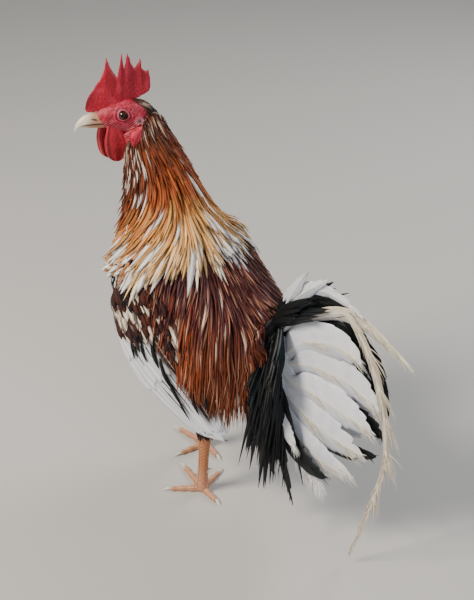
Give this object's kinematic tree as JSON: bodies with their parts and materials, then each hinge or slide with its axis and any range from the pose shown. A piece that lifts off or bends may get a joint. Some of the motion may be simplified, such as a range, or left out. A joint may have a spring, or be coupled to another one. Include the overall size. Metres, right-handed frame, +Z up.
{
  "type": "gamefowl cock model",
  "caption": "Standing cock with an upright neck, a single comb, long hackle and saddle feathers, folded wings and a low curved sickle tail.",
  "frame": {"origin": "on the floor, under the middle of the bird's bounding box", "axes": "+Z up, the bird's breast faces -X, its left side towards -Y"},
  "size_m": [0.436, 0.1788, 0.5605],
  "materials": {
    "beak": "horn, satin",
    "body_feathers": "short overlapping feathers",
    "claw": "horn, satin",
    "comb": "bare waxy skin",
    "eye": "wet, glossy",
    "face": "bare wrinkled skin",
    "flight_feathers": "smooth vanes",
    "hackle": "long silky feathers",
    "leg": "scaled skin"
  },
  "bodies": {
    "root": {"beak_lower": "beak", "beak_upper": "beak", "claw_inner_left": "claw", "claw_inner_right": "claw", "claw_middle_left": "claw", "claw_middle_right": "claw", "claw_outer_left": "claw", "claw_outer_right": "claw", "claw_rear_left": "claw", "claw_rear_right": "claw", "comb": "comb", "eye_left": "eye", "eye_right": "eye", "foot_left": "leg", "foot_right": "leg", "head": "face", "lobe_left": "comb", "lobe_right": "comb", "neck": "hackle", "shank_left": "leg", "shank_right": "leg", "spur_left": "claw", "spur_right": "claw", "tail": "flight_feathers", "thigh_left": "body_feathers", "thigh_right": "body_feathers", "torso": "body_feathers", "wattle_left": "comb", "wattle_right": "comb", "wing_left": "flight_feathers", "wing_right": "flight_feathers"}
  },
  "joints": []
}
